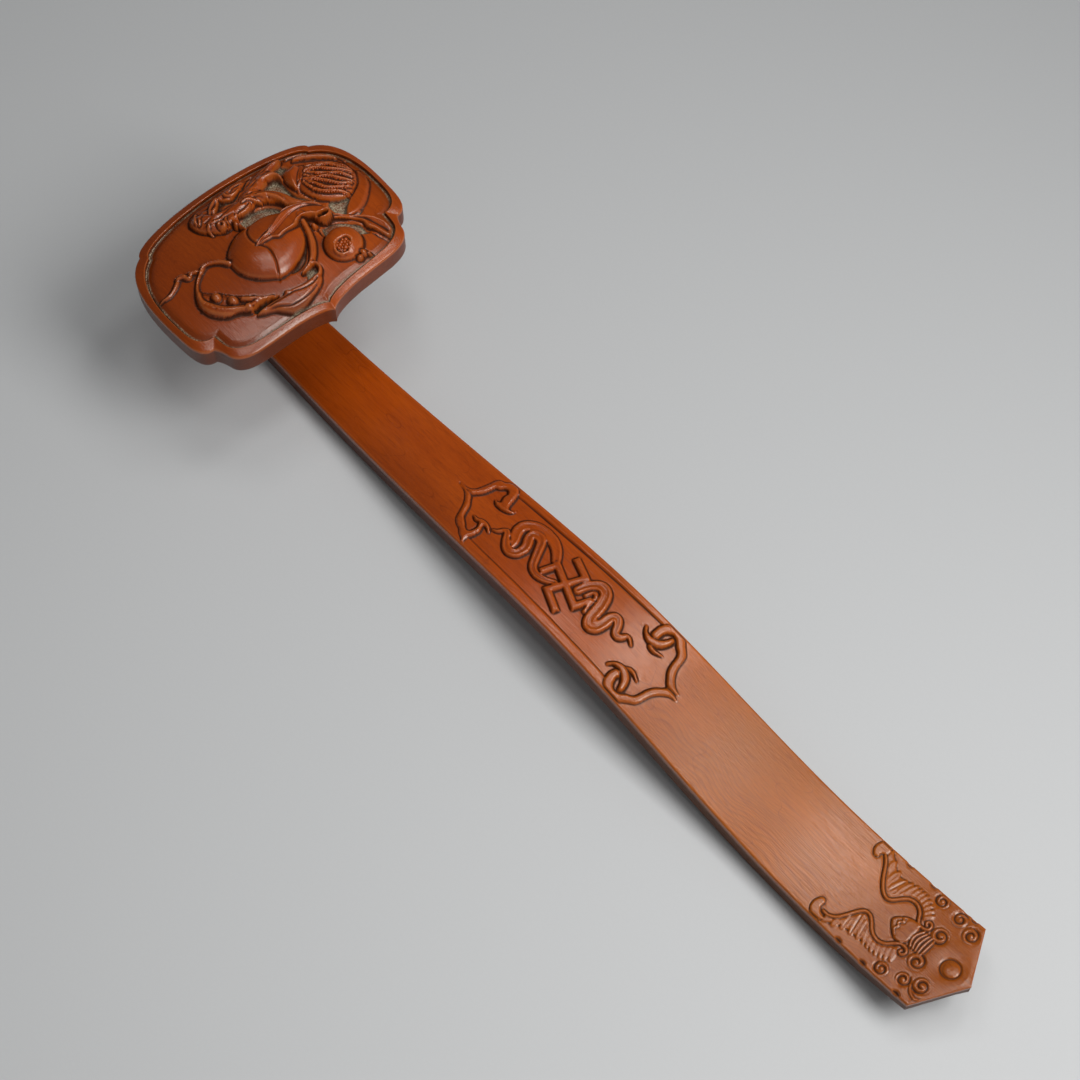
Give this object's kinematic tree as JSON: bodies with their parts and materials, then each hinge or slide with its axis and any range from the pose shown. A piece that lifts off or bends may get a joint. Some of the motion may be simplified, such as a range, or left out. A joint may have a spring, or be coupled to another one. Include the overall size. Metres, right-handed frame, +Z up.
{
  "type": "ruyi scepter",
  "caption": "Carved wooden ruyi scepter: an arched shaft with a pointed tail and a swan neck that carries a lobed, domed head carved with fruit.",
  "frame": {"origin": "on the resting plane, at the middle of the scepter's length and width", "axes": "+X along the shaft towards the tail, +Y across it, +Z up"},
  "size_m": [0.4361, 0.1108, 0.0807],
  "materials": {
    "boxwood": "waxed, satin, reddish brown",
    "inner_wood": "bare, sawn",
    "bamboo": "bare, split"
  },
  "bodies": {
    "root": {"shaft": "boxwood", "head_plaque": "boxwood", "tail_plug": "boxwood", "neck_tongue": "inner_wood", "tongue_wedge_left": "inner_wood", "tongue_wedge_right": "inner_wood", "neck_pin_left": "bamboo", "neck_pin_right": "bamboo"}
  },
  "joints": []
}
